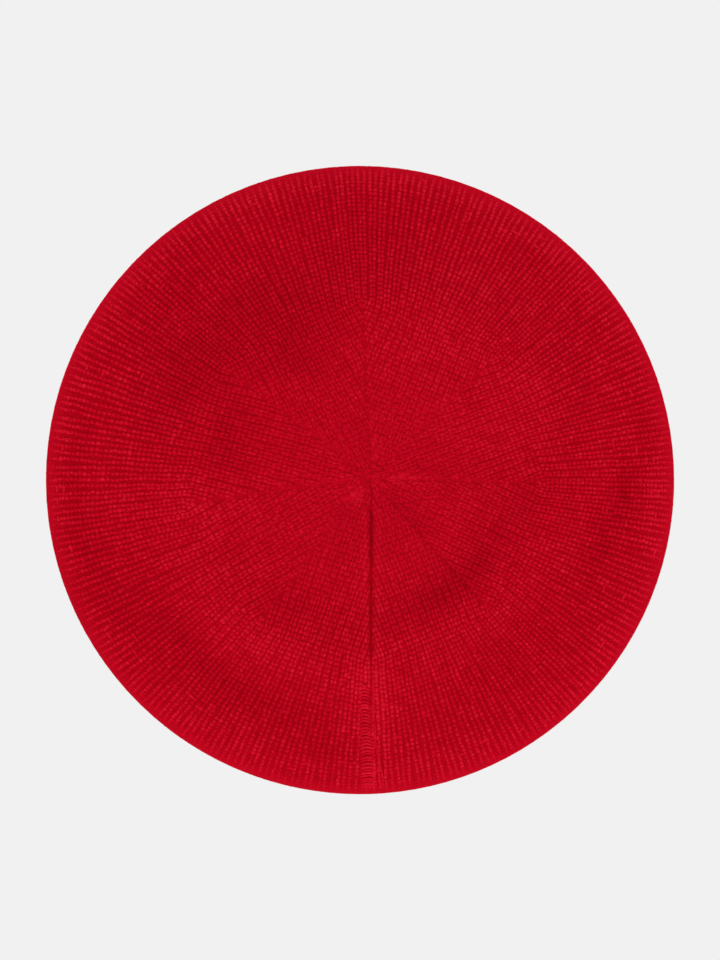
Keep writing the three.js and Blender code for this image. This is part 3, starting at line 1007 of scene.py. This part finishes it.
# Back seam welt
# Inside the crown the two joined edges of the knitting lie flat along the seam as a soft welt, sewn over
# with short slanting stitches of the same yarn. The section is (across, depth below the wrong side).
KNIT_THICKNESS = 2.4
WELT_HALF_WIDTH = 2.4
WELT_SECTION = np.array([
    (-2.4, 0.2), (-2.2, 1.0), (-0.9, 1.45), (0, 1.45), (0.9, 1.45), (2.2, 1.0), (2.4, 0.2),
    (1.0, 0.2), (0.4, 0.2), (0, 0.2), (-0.4, 0.2), (-1.0, 0.2),
])
WELT_STEP = 2.3
WELT_START = 8
WELT_STOPS_BEFORE = 3
WELT_LEAST_RADIUS = 6
BAR_STATIONS = 6
BAR_SLANT = 0.7
BAR_OUT = 1.75
BAR_END_DROP = 1.2
BAR_DROP_POWER = 3
BAR_HALF_WIDTH = 0.62
BAR_DEPTH = 0.8


def on_welt(across, along, lift):
    """Points in metres of the seam's inner side."""
    return on_knitting(along, np.degrees(across / np.maximum(radius_at(along), WELT_LEAST_RADIUS)), lift)


piece = Piece("back_seam_welt")
welt_along = np.arange(WELT_START, under_end - WELT_STOPS_BEFORE, WELT_STEP)[:, None]
across = np.broadcast_to(WELT_SECTION[:, 0], (len(welt_along), len(WELT_SECTION)))
along = np.broadcast_to(welt_along, across.shape)
lift = -KNIT_THICKNESS - np.broadcast_to(WELT_SECTION[:, 1], across.shape)
piece.add(on_welt(across, along, lift), grid_faces(*across.shape, wrap_columns=True)[:, ::-1])

bar = np.linspace(-1, 1, BAR_STATIONS)
across = np.broadcast_to(bar * WELT_HALF_WIDTH, (len(welt_along), BAR_STATIONS))
along = welt_along + BAR_SLANT * bar
lift = -KNIT_THICKNESS - BAR_OUT + BAR_END_DROP * np.abs(bar) ** BAR_DROP_POWER
half_width = np.full(across.shape, BAR_HALF_WIDTH)
*bars, painted_light_and_tone = yarns(across, along, np.broadcast_to(lift, across.shape), half_width, -BAR_DEPTH, sides=3)
piece.add_strands(on_welt(*bars), painted_light_and_tone, inwards=True)
piece.make(seam_cashmere, "back_seam")


# Floor and light
# The beret lies on a plain pale floor that glows evenly, so it takes no shadow. Soft light comes from
# two softboxes on the side of the back seam and one overhead, from two small low ones that lift the
# rim, and from the pale studio all round.
FLOOR_SIZE = 6.0
FLOOR_GREY = 0.879
FLOOR_BELOW = 0.0003
STUDIO_STRENGTH = 0.443
# Each softbox is (name, place, size, power)
SOFTBOXES = [
    ("left_key_softbox", (-1.3, -1.25, 1.2), 1.2, 10.5),
    ("right_key_softbox", (1.2, -1.35, 1.2), 1.2, 9.5),
    ("top_softbox", (0.0, 0.2, 3.4), 1.2, 31),
    ("far_rim_softbox", (-0.3, 1.7, 0.2), 0.3, 3),
    ("right_rim_softbox", (1.65, 0.5, 0.2), 0.3, 2.5),
]
floor_mesh = bpy.data.meshes.new("floor")
half = FLOOR_SIZE / 2
corners = [(x * half, y * half, -FLOOR_BELOW) for x, y in ((-1, -1), (1, -1), (1, 1), (-1, 1))]
floor_mesh.from_pydata(corners, [], [(0, 1, 2, 3)])
floor = bpy.data.objects.new("floor", floor_mesh)
scene.collection.objects.link(floor)
floor_material = bpy.data.materials.new("pale_floor")
floor_material.use_nodes = True
nodes, links = floor_material.node_tree.nodes, floor_material.node_tree.links
nodes.remove(nodes["Principled BSDF"])
glow = nodes.new("ShaderNodeEmission")
glow.inputs["Color"].default_value = (FLOOR_GREY, FLOOR_GREY, FLOOR_GREY, 1)
links.new(glow.outputs["Emission"], nodes["Material Output"].inputs["Surface"])
floor_mesh.materials.append(floor_material)

world = bpy.data.worlds.new("studio")
world.use_nodes = True
background = world.node_tree.nodes["Background"]
background.inputs["Color"].default_value = (1, 1, 1, 1)
background.inputs["Strength"].default_value = STUDIO_STRENGTH
scene.world = world

for name, place, size, power in SOFTBOXES:
    light = bpy.data.lights.new(name, "AREA")
    light.size = size
    light.energy = power
    softbox = bpy.data.objects.new(name, light)
    softbox.location = place
    x, y, z = place
    softbox.rotation_euler = (math.atan2(math.hypot(x, y), z), 0, math.atan2(-y, -x) - math.pi / 2)
    scene.collection.objects.link(softbox)
